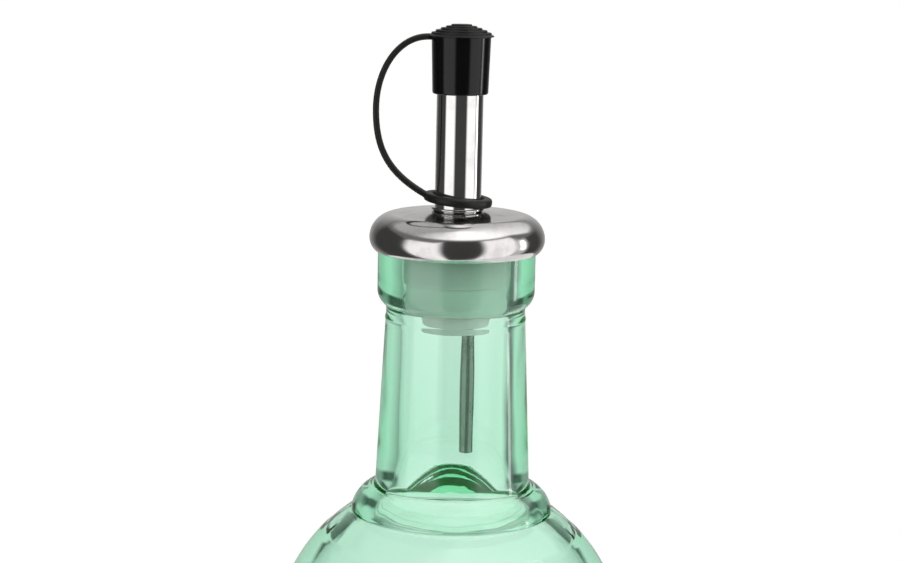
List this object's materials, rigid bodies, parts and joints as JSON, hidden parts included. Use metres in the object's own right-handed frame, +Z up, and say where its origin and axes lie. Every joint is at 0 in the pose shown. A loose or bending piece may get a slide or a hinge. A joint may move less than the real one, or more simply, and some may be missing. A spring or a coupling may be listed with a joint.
{
  "type": "olive oil bottle",
  "caption": "Round-shouldered bottle of thick pale green glass with a beaded neck foot and a steel-topped pourer, its stepped rubber cap held by a strap.",
  "frame": {"origin": "middle of the foot's resting ring, on the surface the bottle stands on", "axes": "+Z up along the bottle's axis, -X towards the cap's strap, -Y towards the viewer of the picture"},
  "size_m": [0.079, 0.079, 0.2425],
  "materials": {
    "pale_green_glass": "clear thick glass with a pale green tint, glossy",
    "satin_steel": "pressed stainless steel, satin with faint smudges",
    "polished_steel": "drawn stainless steel tube, polished",
    "frosted_plastic": "translucent soft plastic, slightly frosted",
    "black_rubber": "black moulded rubber, glossy round the cap's side and dull on its steps"
  },
  "bodies": {
    "root": {"bottle": "pale_green_glass", "stopper": "frosted_plastic", "collar": "satin_steel", "spout": "polished_steel", "vent_tube": "polished_steel", "cap": "black_rubber"}
  },
  "joints": []
}
